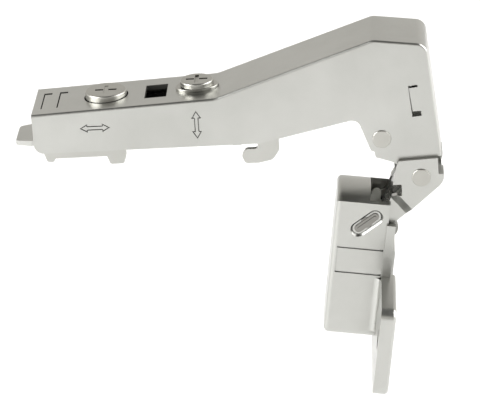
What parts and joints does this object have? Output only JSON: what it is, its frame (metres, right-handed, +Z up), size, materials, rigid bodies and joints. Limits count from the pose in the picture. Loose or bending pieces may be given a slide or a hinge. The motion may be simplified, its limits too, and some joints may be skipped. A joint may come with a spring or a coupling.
{
  "type": "blind corner cabinet hinge",
  "caption": "Clip-on concealed hinge for a blind corner cabinet, drawn open, with a cranked channel arm, two folded links and a narrow drilled-in cup with screw wings.",
  "frame": {"origin": "middle of the mouths of the two front hooks, where the arm hangs on its mounting plate", "axes": "+X along the arm's base towards the cup, +Y along the pivots to the far side, +Z up, away from the mounting plate"},
  "size_m": [0.093, 0.053, 0.0757],
  "materials": {
    "nickel_steel": "satin nickel plate",
    "carriage_steel": "satin nickel plate",
    "dark_steel": "dark phosphated",
    "screw_steel": "turned, nickel plated",
    "spring_steel": "oiled wire",
    "damper_steel": "drawn",
    "moulded_nylon": "moulded"
  },
  "bodies": {
    "carriage": {"clip_carriage": "carriage_steel", "release_lever_pin": "screw_steel"},
    "slide": {"adjusting_slide": "dark_steel", "tilt_pin": "screw_steel"},
    "depth_screw": {"depth_cam_screw": "screw_steel"},
    "side_screw": {"side_adjust_screw": "screw_steel"},
    "arm": {"arm_channel": "nickel_steel", "side_screw_bush": "screw_steel", "inner_link_arm_pin": "screw_steel", "outer_link_rivets": "screw_steel", "inner_link_spacers": "moulded_nylon"},
    "lever": {"release_lever": "nickel_steel", "release_spring": "spring_steel"},
    "outer_link_body": {"outer_link": "nickel_steel"},
    "inner_link_body": {"inner_link": "nickel_steel", "closing_spring": "spring_steel"},
    "cup": {"hinge_cup": "nickel_steel", "pivot_bracket": "carriage_steel", "inner_link_cup_pin": "screw_steel", "outer_link_cup_studs": "screw_steel", "damper_housing": "moulded_nylon", "damper_cylinder": "damper_steel"},
    "plunger": {"damper_slider": "moulded_nylon", "damper_rod": "damper_steel"}
  },
  "joints": [
    {"name": "depth_adjust", "type": "slide", "parent": "carriage", "child": "slide", "axis": [1, 0, 0], "range_m": [-0.00156, 0.00156]},
    {"name": "depth_screw_turn", "type": "hinge", "parent": "slide", "child": "depth_screw", "pos_m": [-0.0311, 0, 0.0085], "axis": [0, 0, -1], "range_deg": [-60, 60]},
    {"name": "arm_tilt", "type": "hinge", "parent": "slide", "child": "arm", "pos_m": [-0.0436, 0, 0.0073], "axis": [0, 1, 0], "range_deg": [0, 2.4]},
    {"name": "side_screw_turn", "type": "hinge", "parent": "slide", "child": "side_screw", "pos_m": [-0.0111, 0, 0.0085], "axis": [0, 0, 1], "range_deg": [0, 614]},
    {"name": "lever_press", "type": "hinge", "parent": "carriage", "child": "lever", "pos_m": [-0.0426, 0, 0.0033], "axis": [0, 1, 0], "range_deg": [0, 12], "stiffness_Nm_per_rad": 0.15},
    {"name": "outer_link_fold", "type": "hinge", "parent": "arm", "child": "outer_link_body", "pos_m": [0.03668, 0, -0.0083], "axis": [0, -1, 0], "range_deg": [0, 38.6]},
    {"name": "inner_link_fold", "type": "hinge", "parent": "arm", "child": "inner_link_body", "pos_m": [0.02854, 0, 0.00063], "axis": [0, -1, 0], "range_deg": [0, 20.1]},
    {"name": "cup_fold", "type": "hinge", "parent": "outer_link_body", "child": "cup", "pos_m": [0.02432, 0, -0.01933], "axis": [0, -1, 0], "range_deg": [0, 59.9]},
    {"name": "damper_press", "type": "slide", "parent": "cup", "child": "plunger", "axis": [-0.1478, 0, -0.989], "range_m": [0, 0.00315]}
  ],
  "couplings": [
    {"joint": "depth_screw_turn", "follows": "depth_adjust", "rad_per_m": 671.28},
    {"joint": "side_screw_turn", "follows": "arm_tilt", "ratio": 255.83},
    {"joint": "inner_link_fold", "follows": "outer_link_fold", "ratio": 0.52072},
    {"joint": "cup_fold", "follows": "outer_link_fold", "ratio": 1.5518},
    {"joint": "damper_press", "follows": "outer_link_fold", "m_per_rad": 0.0046757}
  ]
}
